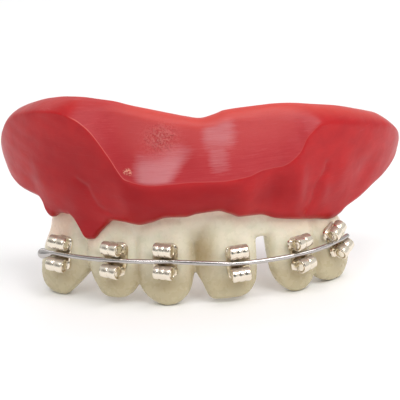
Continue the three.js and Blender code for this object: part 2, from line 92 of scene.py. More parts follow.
# The braces
WIRE_DIAMETER = 0.72
WIRE_LEFT_ANGLE = -55.4
WIRE_RIGHT_ANGLE = 48.9
WIRE_GAP = 0.38
WIRE_PLAY = 0.28
WIRE_BALL = 0.79  # radius of the blob at its left end
WIRE_BALL_REACH = 1.3  # how far the blob takes to thin out
PAD_WIDTH = 3.9
PAD_HEIGHT = 4.4
PAD_THICKNESS = 0.5
PAD_RISE = 0.42  # how far the curved pad stands off its tooth
PAD_SQUARENESS = 4.5
BAR_DIAMETER = 2.1
BAR_LENGTH = 2.8
BAR_SEAT = 0.25
LOBE_FALL = 0.28  # the share of its radius that a bar with a single lobe would lose at its ends
GROOVE_DEPTH = 0.02
GROOVE_WIDTH = 0.08  # as a share of a lobe
POST_WIDTH = 0.4 * BAR_LENGTH
POST_HEIGHT = 0.27 * BAR_DIAMETER
POST_SQUARENESS = 4
WIRE_SAMPLES = 900
WIRE_RINGS = 422
WIRE_POINTS = 24
POST_POINTS = 64
PAD_POINTS = 72
BAR_POINTS = 56
LOBE_RINGS = 30
BAR_SPACING = BAR_DIAMETER + WIRE_DIAMETER + 2 * WIRE_PLAY
WIRE_TO_PAD = WIRE_DIAMETER / 2 + WIRE_GAP
WIRE_OUT = WIRE_TO_PAD + PAD_THICKNESS + CLEARANCE
BAR_AHEAD = BAR_DIAMETER / 2 - BAR_SEAT - WIRE_TO_PAD

CUT_GAP = 0.05  # between the teeth and what is shaped to them
PACKED_FROM_ARCH = (-0.8537, -7.064, 0.0)  # from the arch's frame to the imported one, whose box is centred

# The teeth from left to right: place, turn and lean in degrees, and each outline's reach to the left and the
# right, as shares of TOOTH_WIDTH, at heights that are shares of TOOTH_HEIGHT
TEETH = [
    {"angle": -50.5, "turn": 6, "lean": 11,
     "up": (0, 0.025, 0.08, 0.18, 0.3, 0.46, 0.69, 1),
     "left": (-0.1, -0.23, -0.375, -0.45, -0.465, -0.42, -0.31, -0.32),
     "right": (0.11, 0.18, 0.28, 0.44, 0.59, 0.64, 0.56, 0.45)},
    {"angle": -30.3, "turn": 0, "lean": 9,
     "up": (0.058, 0.073, 0.115, 0.18, 0.27, 0.52, 0.78, 1),
     "left": (-0.05, -0.12, -0.2, -0.265, -0.355, -0.47, -0.47, -0.46),
     "right": (0.2, 0.3, 0.41, 0.49, 0.54, 0.53, 0.49, 0.45)},
    {"angle": -11.7, "turn": 0, "lean": 8,
     "up": (0, 0.026, 0.1, 0.18, 0.3, 0.52, 0.78, 1),
     "left": (-0.04, -0.16, -0.34, -0.43, -0.49, -0.52, -0.48, -0.46),
     "right": (0.09, 0.22, 0.37, 0.44, 0.48, 0.51, 0.51, 0.49)},
    {"angle": 7.9, "turn": 0, "lean": 8,
     "up": (0.04, 0.062, 0.12, 0.2, 0.32, 0.52, 0.78, 1),
     "left": (-0.28, -0.33, -0.38, -0.43, -0.52, -0.53, -0.5, -0.48),
     "right": (0.21, 0.325, 0.42, 0.49, 0.52, 0.53, 0.53, 0.53)},
    {"angle": 28.5, "turn": 0, "lean": 9,
     "up": (0, 0.02, 0.09, 0.17, 0.26, 0.42, 0.59, 0.8, 1),
     "left": (0.03, -0.045, -0.195, -0.28, -0.32, -0.325, -0.32, -0.46, -0.46),
     "right": (0.2, 0.285, 0.41, 0.47, 0.49, 0.51, 0.55, 0.58, 0.56)},
    {"angle": 47.6, "turn": 0, "lean": 8,
     "up": (0, 0.02, 0.072, 0.144, 0.26, 0.52, 0.78, 1),
     "left": (-0.17, -0.3, -0.45, -0.535, -0.57, -0.53, -0.46, -0.4),
     "right": (0.03, 0.12, 0.21, 0.29, 0.33, 0.28, 0.09, 0.04)},
]

# The front and back of every tooth, as shares of TOOTH_DEPTH out from the arch
TOOTH_SECTION = {
    "up": (0, 0.026, 0.1, 0.2, 0.33, 0.52, 0.72, 0.85, 1),
    "front": (-0.22, -0.15, -0.08, -0.025, 0, 0.01, -0.03, -0.08, -0.15),
    "back": (-0.43, -0.52, -0.62, -0.71, -0.81, -0.91, -0.98, -1, -0.97),
}

# The lower edge of the gum, and the height from which its face swells out, as shares of TOOTH_HEIGHT
GUM_LINE = {
    "angle": (-78, -70, -60, -56.8, -54.9, -53.7, -52.1, -49.2, -46, -43.5, -41.5, -39, -36.8, -34.6, -32,
              -29.5, -27, -23.4, -18.5, -14.6, -9.5, -4, -0.5, 5.8, 9.2, 12.5, 18.3, 24, 31.4, 37, 46.1,
              48.5, 51, 57, 65, 72, 79),
    "low": (1.06, 1.03, 0.995, 0.98, 0.93, 0.84, 0.8, 0.85, 0.87, 0.87, 0.83, 0.735, 0.64, 0.65, 0.735,
            0.815, 0.87, 0.86, 0.835, 0.865, 0.92, 0.915, 0.945, 0.962, 0.92, 0.87, 0.87, 0.8, 0.742, 0.707,
            0.642, 0.66, 0.71, 0.775, 0.86, 0.9, 0.92),
    "foot": (1.06, 1.03, 0.995, 0.98, 0.955, 0.935, 0.915, 0.895, 0.88, 0.875, 0.87, 0.87, 0.87, 0.87, 0.87,
             0.87, 0.87, 0.86, 0.845, 0.865, 0.9, 0.915, 0.93, 0.935, 0.91, 0.88, 0.85, 0.8, 0.742, 0.707,
             0.67, 0.68, 0.71, 0.775, 0.86, 0.9, 0.92),
}

# The face of the gum: the heights of its crease and top as shares of GUM_RISE above the roots, and how far
# it stands out at the crease, the top and the lower edge as shares of GUM_BULGE
GUM_FACE = {
    "angle": (-78, -71, -64, -56, -48, -40, -34.6, -29.9, -24.3, -19.6, -12.6, -6.6, -2.3, 2.3, 6.7, 9.8,
              14.4, 19, 24, 29.6, 33, 38, 47, 57, 69, 79),
    "crease": (0.5, 0.61, 0.735, 0.83, 0.895, 0.92, 0.88, 0.79, 0.56, 0.345, 0.3, 0.31, 0.315, 0.31, 0.305,
               0.31, 0.33, 0.36, 0.36, 0.46, 0.6, 0.68, 0.63, 0.54, 0.44, 0.35),
    "top": (0.53, 0.67, 0.81, 0.9, 0.97, 1.01, 1.017, 1.008, 0.99, 0.96, 0.92, 0.88, 0.85, 0.825, 0.85,
            0.878, 0.886, 0.888, 0.886, 0.87, 0.853, 0.82, 0.755, 0.655, 0.525, 0.41),
    "bulge": (0.82, 0.85, 0.87, 0.9, 0.95, 1, 1, 1, 1, 1, 1.03, 1, 0.98, 0.96, 0.98, 1, 1.03, 0.95, 0.93,
              1.05, 1.05, 1.05, 1.1, 1.18, 1.32, 1.42),
    "rim": (0.55, 0.5, 0.45, 0.4, 0.35, 0.3, 0.25, 0.2, 0.12, 0.1, 0.1, 0.1, 0.1, 0.1, 0.1, 0.12, 0.15, 0.2,
            0.25, 0.3, 0.35, 0.45, 0.6, 0.75, 0.9, 1),
    "lip": (0.65, 0.5, 0.38, 0.24, 0.18, 0.16, 0.16, 0.16, 0.16, 0.16, 0.16, 0.16, 0.16, 0.16, 0.16, 0.16,
            0.16, 0.16, 0.16, 0.16, 0.16, 0.16, 0.18, 0.45, 0.8, 1.28),
}

# The wire's height as a share of TOOTH_HEIGHT, and the brackets: place, turn and tilt in degrees, the lobes
# of a bar, and the pad's width as a share of PAD_WIDTH
WIRE = {
    "angle": (-58, -54, -46.6, -27.1, -11, 0, 10.9, 31, 45.1, 50),
    "up": (0.432, 0.444, 0.49, 0.507, 0.513, 0.486, 0.45, 0.438, 0.462, 0.485),
}
BRACKETS = [
    {"angle": -46.6, "turn": 12, "tilt": -5, "lobes": 2, "pad": 0.7},
    {"angle": -27.1, "turn": -14, "tilt": 0, "lobes": 2, "pad": 0.95},
    {"angle": -11, "turn": -16, "tilt": 0, "lobes": 3, "pad": 0.97},
    {"angle": 10.9, "turn": 3, "tilt": 1, "lobes": 3, "pad": 0.94},
    {"angle": 31, "turn": 21, "tilt": 1, "lobes": 2, "pad": 0.86},
    {"angle": 45.1, "turn": 15, "tilt": 21, "lobes": 2, "pad": 0.7},
]

# Patches are bells over the arch: the angle and height of the middle, how wide and how high in mm, and how
# strong. These are the brown patches of the teeth, under the brackets and the wire and between the teeth:
# partly stains, and partly painted shade where the brackets, the wire and the valleys shade the teeth.
STAINS = [
    (-47.0, 3.6, 2.2, 1.1, 0.55),
    (-41.5, 5.6, 2.2, 1.3, 0.45),
    (-27.5, 3.6, 2.2, 1.2, 0.6),
    (-20.0, 5.2, 1.2, 2.0, 0.6),
    (-11.5, 3.8, 2.4, 1.2, 0.6),
    (-0.6, 7.8, 2.1, 3.8, 0.85),
    (2.4, 8.6, 1.6, 3.2, 0.4),
    (9.5, 3.3, 2.4, 1.1, 0.5),
    (29.5, 3.4, 2.2, 1.2, 0.5),
    (37.5, 5.6, 1.2, 2.4, 0.5),
    (43.5, 4.2, 2.0, 1.4, 0.45),
]

# Patches of painted shade, which darken the gum's red: on both sides of the crease, only below it, and
# only on the panel
DEEP = [(22.3, 17.0, 3.0, 3.0, 0.9), (-38.5, 12.0, 3.4, 3.4, 0.7)]
DEEP_BELOW = [(-34.0, 20.5, 8.0, 6.5, 0.8)]
DEEP_ON_PANEL = [(-22.0, 23.5, 3.4, 4.0, 0.45), (-1.8, 23.5, 1.6, 3.2, 0.35)]

# Swellings and hollows of the gum's face: place, width along the arch in degrees, height and rise in mm
SWELLINGS = [
    (14.5, 17.3, 2.8, 3.4, 0.3),
    (22.5, 16.8, 3.2, 3.6, -0.6),
    (29.8, 16.6, 2.8, 4.6, 0.4),
    (38.8, 15.2, 2.2, 1.9, 0.32),
    (45.5, 18.5, 4.0, 3.2, 0.22),
    (-37.4, 12.6, 4.0, 4.4, 0.3),
    (-27.5, 14.8, 3.4, 2.4, 0.16),
    (-38.5, 22.0, 8.0, 3.6, -0.35),
    (-50.4, 17.6, 3.8, 2.6, 0.2),
    (56.0, 16.5, 4.5, 2.4, -0.35),
    (-10.0, 22.2, 6.0, 1.8, 0.1),
    (8.3, 25.0, 3.2, 2.8, 0.1),
    (-1.5, 24.0, 2.8, 4.0, -0.12),
]

# Narrow folds of the gum's face, as a route of places, with their depth and width in mm
FOLDS = [
    {"angle": (-36.5, -35.4, -33.2, -32.2, -30.6, -27), "up": (19.6, 19.3, 18.7, 17.1, 15.5, 14.7),
     "deep": 0.17, "wide": 0.5},
    {"angle": (39.6, 39.3, 36.7, 35.3, 33.9), "up": (19.6, 18.5, 16.8, 14.2, 12.3),
     "deep": 0.26, "wide": 0.5},
    {"angle": (-18.96, -18.6), "up": (21.7, 19.1), "deep": 0.05, "wide": 0.14},
]

# The pitted patch of the ground panel, and the crumb beside the crease
PITS = {
    "angle": (-14.4, -4.8), "up": (24.4, 28.2),
    "count": 110, "radius": (0.12, 0.24), "deep": (0.02, 0.07), "rim": 0.35,
}
CRUMBS = {
    "angle": -18.9, "up": 21.8, "spread": 0.5,
    "count": 12, "radius": (0.1, 0.2), "rise": (0.06, 0.14),
}

# The camera at the photograph's angle: a distance and an aim in millimetres in the arch's frame
IMAGE_WIDTH = 400
FOCAL_PIXELS = 2192
SENSOR_WIDTH = 36.0
CAMERA_ELEVATION = 20.0
CAMERA_ROLL = 3.6
CAMERA_DISTANCE = 320.0
CAMERA_TARGET = (0.0, 4.0, 14.4)
AIM_RIGHT = 0.292
AIM_UP = 0.438

# The sky's strength, and its dim spots: direction, the cosines of the angles at which a spot starts and is
# darkest, and the share of the sky that is left there
SKY = 0.72
DIM_SPOTS = [
    ((0.0, -0.94, 0.34), 0.86, 0.96, 0.12),
    ((-0.71, -0.62, 0.34), 0.93, 0.99, 0.42),
    ((-0.89, -0.3, 0.34), 0.94, 0.99, 0.5),
]

# The lights: place, aim and size in mm, and watts
LIGHTS = {
    "key": ((190, -170, 330), (0, 0, 12), (240, 180), 0.47),
    "strip": ((0, -150, 340), (0, 0, 12), (420, 60), 0.3),
    "behind": ((0, 460, 420), (0, 640, 0), (900, 300), 1.2),
    "front_left": ((-150, -290, 290), (0, 0, 18), (110, 60), 0.16),
    "front_right": ((160, -290, 290), (0, 0, 18), (110, 60), 0.2),
}


def read(table, key, column, at):
    """A smooth curve through the rows of a table. Between two rows it is the cubic whose end slopes are the
    harmonic means of the slopes on both sides of a row, or level where these differ in sign."""
    keys = np.asarray(table[key], float)
    values = np.asarray(table[column], float)
    span = np.diff(keys)
    slope = np.diff(values) / span
    before, after = slope[:-1], slope[1:]
    same = before * after > 0
    mean = np.where(same, 2 * before * after / np.where(same, before + after, 1), 0)
    tangent = np.concatenate([slope[:1], mean, slope[-1:]])
    at = np.clip(at, keys[0], keys[-1])
    row = np.clip(np.searchsorted(keys, at, side="right") - 1, 0, len(span) - 1)
    s = (at - keys[row]) / span[row]
    bend = (1 - s) * (tangent[row] - slope[row]) - s * (tangent[row + 1] - slope[row])
    return values[row] + span[row] * s * (slope[row] + (1 - s) * bend)


def arch_normal(angle):
    """The outward direction of the ellipse: its gradient at the angle, made one long."""
    t = np.radians(angle)
    normal = np.stack([ARCH_DEPTH * np.sin(t), -ARCH_HALF_WIDTH * np.cos(t)], -1)
    return normal / np.linalg.norm(normal, axis=-1, keepdims=True)


def arch_point(angle, out, up):
    """The ellipse's point at the angle, moved out along its normal and up."""
    angle, out, up = np.broadcast_arrays(angle, out, up)
    t = np.radians(angle)
    spot = np.stack([ARCH_HALF_WIDTH * np.sin(t), ARCH_DEPTH * (1 - np.cos(t))], -1)
    spot = spot + arch_normal(angle) * out[..., None]
    return np.concatenate([spot, up[..., None]], -1)


def arch_place(points):
    """The inverse of arch_point: Newton's steps to the ellipse's nearest point, as angle, out and up."""
    x, y = points[..., 0], points[..., 1]
    t = np.arctan2(x / ARCH_HALF_WIDTH, 1 - y / ARCH_DEPTH)
    for _ in range(8):
        sin, cos = np.sin(t), np.cos(t)
        dx, dy = x - ARCH_HALF_WIDTH * sin, y - ARCH_DEPTH * (1 - cos)
        tx, ty = ARCH_HALF_WIDTH * cos, ARCH_DEPTH * sin
        off = dx * tx + dy * ty
        t = t - off / (-(tx * tx + ty * ty) - dx * ARCH_HALF_WIDTH * sin + dy * ARCH_DEPTH * cos)
    angle = np.degrees(t)
    normal = arch_normal(angle)
    out = (x - ARCH_HALF_WIDTH * np.sin(t)) * normal[..., 0]
    out = out + (y - ARCH_DEPTH * (1 - np.cos(t))) * normal[..., 1]
    return angle, out, points[..., 2]


def arch_frame(angle, turn, out, up):
    """The 4 x 4 matrix of a piece on the arch, with x along the arch, y into the mouth and z up."""
    inwards = turned(turn, "Z")[:3, :3] @ [*-arch_normal(angle), 0]
    matrix = np.eye(4)
    matrix[:3, 0] = inwards[1], -inwards[0], 0
    matrix[:3, 1] = inwards
    matrix[:3, 3] = arch_point(angle, out, up)
    return matrix


def turned(degrees, axis):
    return np.array(Matrix.Rotation(np.radians(degrees), 4, axis))


def move(points, matrix):
    """Each point taken through a 4 x 4 matrix."""
    return points @ matrix[:3, :3].T + matrix[:3, 3]


def smooth_step(low, high, x):
    """0 below low, 1 above high, and a cubic in between."""
    s = np.clip((x - low) / (high - low), 0, 1)
    return s * s * (3 - 2 * s)


def window(x, start, full, fading, end):
    """1 from full to fading, 0 before start and after end, and a smooth step in between."""
    return smooth_step(start, full, x) * smooth_step(end, fading, x)


def soft_least(a, b, reach):
    """The smaller of two values, with the corner where they cross rounded over a reach."""
    h = np.clip(0.5 + 0.5 * (b - a) / reach, 0, 1)
    return b * (1 - h) + a * h - reach * h * (1 - h)


def arc_length(angle):
    """Millimetres along the arch from its front, about: the ellipse's speed at half the angle times it."""
    half = np.radians(angle) / 2
    speed = np.hypot(ARCH_HALF_WIDTH * np.cos(half), ARCH_DEPTH * np.sin(half))
    return speed * np.radians(angle)


def ring_faces(rings, around):
    """Quads of a grid that closes round its second way, and the two fans that close its ends."""
    spots = np.arange(rings * around).reshape(rings, around)
    beside = np.roll(spots, -1, 1)
    quads = np.stack([spots[:-1], beside[:-1], beside[1:], spots[1:]], -1).reshape(-1, 4)
    start, end = np.full((2, around), [[rings * around], [rings * around + 1]])
    first_fan = np.stack([start, beside[0], spots[0]], -1)
    last_fan = np.stack([end, spots[-1], beside[-1]], -1)
    return quads.tolist() + first_fan.tolist() + last_fan.tolist()


def ring_body(name, rings):
    """A closed body through rings of points, an array of rings by points by 3, with a fan at each end. The
    sign of its volume tells which way its faces turn."""
    points = np.concatenate([rings.reshape(-1, 3), rings[[0, -1]].mean(1)])
    faces = ring_faces(*rings.shape[:2])
    beside = np.roll(rings, -1, 1)
    a, b, c, d = rings[:-1], beside[:-1], beside[1:], rings[1:]
    if (np.cross(c - a, d - b) * (a + b + c + d)).sum() < 0:
        faces = [face[::-1] for face in faces]
    return new_piece(name, points, faces)


def circle(count):
    """The cosine and the sine of even steps round a circle."""
    turn = np.linspace(0, 2 * np.pi, count, endpoint=False)
    return np.cos(turn), np.sin(turn)


def superellipse(count, power):
    """Points round a rounded square that reaches 1 each way: the cosine and the sine, each with its sign and
    raised to two over the power."""
    return [np.sign(wave) * np.abs(wave) ** (2 / power) for wave in circle(count)]


def new_object(name, data):
    item = bpy.data.objects.new(name, data)
    bpy.context.scene.collection.objects.link(item)
    return item


def new_piece(name, points, faces):
    mesh = bpy.data.meshes.new(name)
    mesh.from_pydata(np.asarray(points, float).tolist(), [], faces)
    return new_object(name, mesh)


def rows_of(items, field):
    """A field of three numbers of each vertex or normal, as an array with a row for each."""
    flat = np.empty(len(items) * 3, np.float32)
    items.foreach_get(field, flat)
    return flat.reshape(-1, 3).astype(float)


def points_of(piece):
    return rows_of(piece.data.vertices, "co")


def normals_of(piece):
    return rows_of(piece.data.vertex_normals, "vector")


def set_points(piece, points):
    piece.data.vertices.foreach_set("co", np.asarray(points, np.float32).ravel())
    piece.data.update()


def apply_modifiers(piece):
    """The piece's mesh becomes what its modifiers make of it, and the modifiers go."""
    depsgraph = bpy.context.evaluated_depsgraph_get()
    mesh = bpy.data.meshes.new_from_object(piece.evaluated_get(depsgraph))
    piece.modifiers.clear()
    old = piece.data
    piece.data = mesh
    bpy.data.meshes.remove(old)


def combine(piece, tool, operation, keep_tool=False):
    """Joins a closed body to a piece, or cuts it from the piece."""
    boolean = piece.modifiers.new("combine", "BOOLEAN")
    boolean.solver = "MANIFOLD"
    boolean.operation = operation
    boolean.object = tool
    apply_modifiers(piece)
    if not keep_tool:
        bpy.data.objects.remove(tool)


def join(name, pieces):
    """One mesh that holds all the pieces' faces, which may still pass through each other."""
    points, faces, start = [], [], 0
    for piece in pieces:
        points.append(points_of(piece))
        faces += [[start + v for v in face.vertices] for face in piece.data.polygons]
        start += len(piece.data.vertices)
        bpy.data.objects.remove(piece)
    return new_piece(name, np.concatenate(points), faces)


def remesh(piece, size, smoothing):
    """An even skin over everything that the mesh encloses, relaxed so that valleys fill a little."""
    skin = piece.modifiers.new("skin", "REMESH")
    skin.mode = "VOXEL"
    skin.voxel_size = size
    relax = piece.modifiers.new("relax", "SMOOTH")
    relax.factor = 0.5
    relax.iterations = smoothing
    apply_modifiers(piece)


def finish(piece, material, sharp=40):
    """Smooth shading with edges sharper than an angle kept, and the piece's material."""
    piece.data.shade_smooth()
    piece.data.set_sharp_from_angle(angle=np.radians(sharp))
    piece.data.materials.clear()
    piece.data.materials.append(material)


def store(piece, **fields):
    """Stores each named array as an attribute of the piece's points."""
    for name, values in fields.items():
        values = np.asarray(values, np.float32)
        kind, field = ("FLOAT", "value") if values.ndim == 1 else ("FLOAT_VECTOR", "vector")
        attribute = piece.data.attributes.new(name, kind, "POINT")
        attribute.data.foreach_set(field, values.ravel())


def end_rounding(angle, left, right, reach):
    """1 away from the ends of a stretch, and a quarter ellipse down to 0 over the reach at each end."""
    past = np.maximum(np.maximum(left + reach - angle, angle - (right - reach)), 0) / reach
    return np.sqrt(np.maximum(1 - past * past, 0))


def stations(left, right, reach, middle, ends):
    """Angles from end to end: even in the middle, and in equal turns of a circle where an end is rounded."""
    turn = np.linspace(0.02, 1, ends, endpoint=False) * np.pi / 2
    start = left + reach * (1 - np.sin(np.pi / 2 - turn))
    end = right - reach * (1 - np.sin(np.pi / 2 - turn))[::-1]
    return np.concatenate([start, np.linspace(left + reach, right - reach, middle), end])


def relief(angle, up):
    """How far the gum's face is moved out by its swellings, folds and slow ripples: each swelling is a bell
    over the arch, and each fold is a bell over the distance to its route."""
    along = arc_length(angle)
    rise = np.zeros(np.broadcast(angle, up).shape)
    for at_angle, at_up, wide, high, much in SWELLINGS:
        rise += much * np.exp(-(((angle - at_angle) / wide) ** 2) - ((up - at_up) / high) ** 2)
    for fold in FOLDS:
        route = np.stack([arc_length(np.array(fold["angle"])), np.array(fold["up"])], -1)
        rise -= fold["deep"] * np.exp(-((distance_to_route(along, up, route) / fold["wide"]) ** 2))
    rise += RIPPLE * np.sin(along * 0.62 + 1.3) * np.sin(up * 0.83 + 0.4)
    rise += FINE_RIPPLE * np.sin(along * 1.37 + up * 0.9) * np.sin(up * 1.6 - along * 0.4)
    return rise


def distance_to_route(along, up, route):
    """The least distance to any of the route's straight stretches."""
    best = np.full(np.broadcast(along, up).shape, 1e9)
    for (a0, u0), (a1, u1) in zip(route[:-1], route[1:]):
        length = (a1 - a0) ** 2 + (u1 - u0) ** 2
        s = np.clip(((along - a0) * (a1 - a0) + (up - u0) * (u1 - u0)) / length, 0, 1)
        best = np.minimum(best, np.hypot(along - a0 - s * (a1 - a0), up - u0 - s * (u1 - u0)))
    return best


def speckle(angle, up):
    """Small round pits in the ground panel, each with a low rim, and crumbs beside its crease. Each is a bell
    at a seeded place."""
    random = np.random.default_rng(7)
    along = arc_length(angle)
    rise = np.zeros(np.broadcast(angle, up).shape)
    middle = np.array([np.mean(PITS["angle"]), np.mean(PITS["up"])])
    reach = np.array([np.ptp(PITS["angle"]), np.ptp(PITS["up"])]) / 2
    for _ in range(PITS["count"]):
        turn, far = random.uniform(0, 2 * np.pi), np.sqrt(random.uniform(0, 1))
        spot = middle + reach * far * np.array([np.cos(turn), np.sin(turn)])
        radius, deep = random.uniform(*PITS["radius"]), random.uniform(*PITS["deep"])
        away = np.hypot((along - arc_length(spot[0])) * 0.8, up - spot[1]) / radius
        rise -= deep * (np.exp(-(away**2)) - PITS["rim"] * np.exp(-((away - 1.5) ** 2) * 4))
    for _ in range(CRUMBS["count"]):
        turn, far = random.uniform(0, 2 * np.pi), random.uniform(0, CRUMBS["spread"])
        radius, high = random.uniform(*CRUMBS["radius"]), random.uniform(*CRUMBS["rise"])
        east = along - arc_length(CRUMBS["angle"]) - far * np.cos(turn) * 1.6
        rise += high * np.exp(-((east**2 + (up - CRUMBS["up"] - far * np.sin(turn)) ** 2) / radius**2))
    return rise


def gum_rows(angle):
    """The heights and offsets that shape the face at each angle, drawn in towards the ends of the wings."""
    rounding = end_rounding(angle, *WINGS)
    wing = TOOTH_HEIGHT + GUM_RISE * np.where(angle < 0, LEFT_WING_UP, RIGHT_WING_UP)
    low = TOOTH_HEIGHT * read(GUM_LINE, "angle", "low", angle)
    foot = TOOTH_HEIGHT * read(GUM_LINE, "angle", "foot", angle)
    crease = TOOTH_HEIGHT + GUM_RISE * read(GUM_FACE, "angle", "crease", angle)
    top = TOOTH_HEIGHT + GUM_RISE * read(GUM_FACE, "angle", "top", angle)
    heights = {"low": low, "foot": foot, "crease": crease, "top": top}
    rows = {name: wing + (up - wing) * rounding for name, up in heights.items()}
    for name in ("bulge", "rim", "lip"):
        rows[name] = GUM_BULGE * read(GUM_FACE, "angle", name, angle)
    rows["wall"] = GUM_WALL * np.sqrt(rounding)
    rows["rounding"] = rounding
    return rows


def crease_softness(angle):
    """Millimetres over which the crease is rounded: crisp on the left, softer at the right and the wings."""
    return 0.1 + 0.22 * smooth_step(5, 30, angle) + 0.5 * smooth_step(38, 60, np.abs(angle))


def gum_face(up, rows, softness):
    """The face's offset: a quarter sine from the foot to the crease, a straight ramp from there to the rim,
    and the smaller of the two with their corner rounded."""
    share = (up - rows["foot"]) / (rows["crease"] - rows["foot"])
    below = rows["lip"] + (rows["bulge"] - rows["lip"]) * np.sin(np.pi / 2 * np.clip(share, 0, 1))
    slope = (rows["rim"] - rows["bulge"]) / (rows["top"] - rows["crease"])
    above = rows["bulge"] + slope * (up - rows["crease"])
    return soft_least(below, above, softness)


def gum_wall():
    """The front wall: a section with two round edges, carried along the arch. Its inner side is a plain copy
    of its face one wall behind it."""
    angle = stations(*WINGS, GUM_STATIONS, WING_END_STATIONS)[:, None]
    rows = gum_rows(angle)
    height = rows["top"] - rows["low"]
    radius = np.minimum(rows["wall"] / 2, height / 2.2)
    brow = np.minimum(radius * (1 + 1.1 * smooth_step(5, 32, angle)), height / 2.2)

    def heights(count):
        even = np.linspace(0, 1, count)[None, :]
        share = 0.72 * even + 0.28 * (1 - np.cos(np.pi * even)) / 2
        return rows["low"] + height * share

    def inset(up, top_radius):
        past = np.maximum(1 - (up - rows["low"]) / radius, 1 - (rows["top"] - up) / top_radius)
        past = np.maximum(past, 0)
        return (rows["wall"] / 2) * (1 - np.sqrt(np.maximum(1 - past * past, 0)))

    front_up = heights(FACE_POINTS)
    back_up = heights(BACK_POINTS)[:, 1:-1]
    softness = crease_softness(angle)
    calm = smooth_step(0, 0.8, front_up - rows["low"]) * smooth_step(0, 1.2, rows["top"] - front_up)
    detail = (relief(angle, front_up) + speckle(angle, front_up)) * calm * rows["rounding"]
    front_out = gum_face(front_up, rows, softness) - GUM_WALL / 2
    front_out = front_out + rows["wall"] / 2 - inset(front_up, brow) + detail
    back_out = gum_face(back_up, rows, 1.2) - GUM_WALL / 2
    back_out = back_out - rows["wall"] / 2 + inset(back_up, radius)
    front = arch_point(angle, front_out, front_up)
    back = arch_point(angle, back_out, back_up)
    return ring_body("gum_wall", np.concatenate([front, back[:, ::-1]], 1))


def round_edge(out, up, radius, start, end, steps):
    """Points on an arc of a section, between two directions in degrees above straight out."""
    t = np.radians(np.linspace(start, end, steps))
    return [(out + radius * np.cos(a), up + radius * np.sin(a)) for a in t]


def trough():
    """The floor over the roots and the low wall behind it: one section of lines and arcs, carried along the
    arch and drawn in to a line where the trough ends."""
    angle = stations(*TROUGH, TROUGH_STATIONS, TROUGH_END_STATIONS)[:, None]
    rounding = end_rounding(angle, *TROUGH)
    inner, outer = -TROUGH_WIDTH, -TROUGH_WIDTH - BACK_WALL
    under, wall_top = TOOTH_HEIGHT - ROOT_GRIP, FLOOR_UP + BACK_WALL_RISE
    half = BACK_WALL / 2
    section = [(FLOOR_LAP, FLOOR_UP - FLOOR_THICKNESS / 2), (FLOOR_LAP, FLOOR_UP)]
    section += round_edge(inner + FLOOR_FILLET, FLOOR_UP + FLOOR_FILLET, FLOOR_FILLET, 270, 180, 7)
    section += round_edge(inner - half, wall_top - half, half, 0, 180, 15)
    section += round_edge(outer + UNDER_ROUNDING, under + UNDER_ROUNDING, UNDER_ROUNDING, 180, 270, 8)
    section += [(-TOOTH_DEPTH / 2, under), (ROOT_BAR_FRONT * TOOTH_DEPTH, TOOTH_HEIGHT)]
    out, up = np.array(section).T
    pivot_out, pivot_up = -0.5, FLOOR_UP - FLOOR_THICKNESS / 2
    out = pivot_out + (out - pivot_out) * rounding
    up = pivot_up + (up - pivot_up) * rounding
    return ring_body("trough", arch_point(angle, out, up))


def tooth_section(place, share):
    """A tooth's left, right, front, back and lean in mm, at a share of its height."""
    tip = place["up"][0]
    at = (share - tip) / (1 - tip)
    left, right = (read(place, "up", side, share) * TOOTH_WIDTH for side in ("left", "right"))
    front, back = (read(TOOTH_SECTION, "up", side, at) * TOOTH_DEPTH for side in ("front", "back"))
    lean = np.tan(np.radians(place["lean"])) * (LEAN_PIVOT - share) * TOOTH_HEIGHT
    return left, right, front, back, lean


def tooth(place):
    """One tooth: superellipses stacked from tip to root, each placed by the outline's reach to both sides
    and the section's front and back, and leaned out about a pivot."""
    tip = place["up"][0]
    share = tip + (1 - tip) * np.linspace(0, 1, TOOTH_RINGS)[:, None] ** 1.15
    left, right, front, back, lean = tooth_section(place, share)
    across, deep = superellipse(TOOTH_POINTS, TOOTH_SQUARENESS)
    x = (left + right) / 2 + (right - left) / 2 * across
    y = -(front + back) / 2 + (front - back) / 2 * deep - lean
    rings = np.stack([x, y, share * TOOTH_HEIGHT + 0 * x], -1)
    return ring_body("tooth", move(rings, arch_frame(place["angle"], place["turn"], 0, 0)))


def root_bar():
    """The bar that joins the roots: a bevelled rectangle carried along the arch."""
    angle = np.linspace(TEETH[0]["angle"], TEETH[-1]["angle"], 60)[:, None]
    front, back = ROOT_BAR_FRONT * TOOTH_DEPTH, ROOT_BAR_BACK * TOOTH_DEPTH
    low, high = TOOTH_HEIGHT - ROOT_BAR_HEIGHT, TOOTH_HEIGHT
    edge = ROOT_BAR_EDGE
    section = [(front, low + edge), (front, high), (back, high), (back, low + edge), (back + edge, low),
               (front - edge, low)]
    out, up = np.array(section).T
    return ring_body("root_bar", arch_point(angle, out, up))


def tooth_strip():
    """The six teeth and their bar as one skin, whose valleys are softened."""
    strip = join("strip", [tooth(place) for place in TEETH] + [root_bar()])
    remesh(strip, STRIP_VOXEL, STRIP_SMOOTHING)
    return strip


def grown(piece, gap):
    """A copy of a piece, larger all round by a gap along its normals."""
    copy = new_object("grown", piece.data.copy())
    set_points(copy, points_of(piece) + normals_of(piece) * gap)
    return copy


def post_body(profile):
    """A post from a pad to a bar: a superellipse outline, with a scale and a depth for each ring."""
    scale, depth = np.array(profile).T[..., None]
    across, high = superellipse(POST_POINTS, POST_SQUARENESS)
    x, z = scale * (across * POST_WIDTH), scale * (high * POST_HEIGHT)
    return ring_body("post", np.stack([x, depth + 0 * x, z], -1))


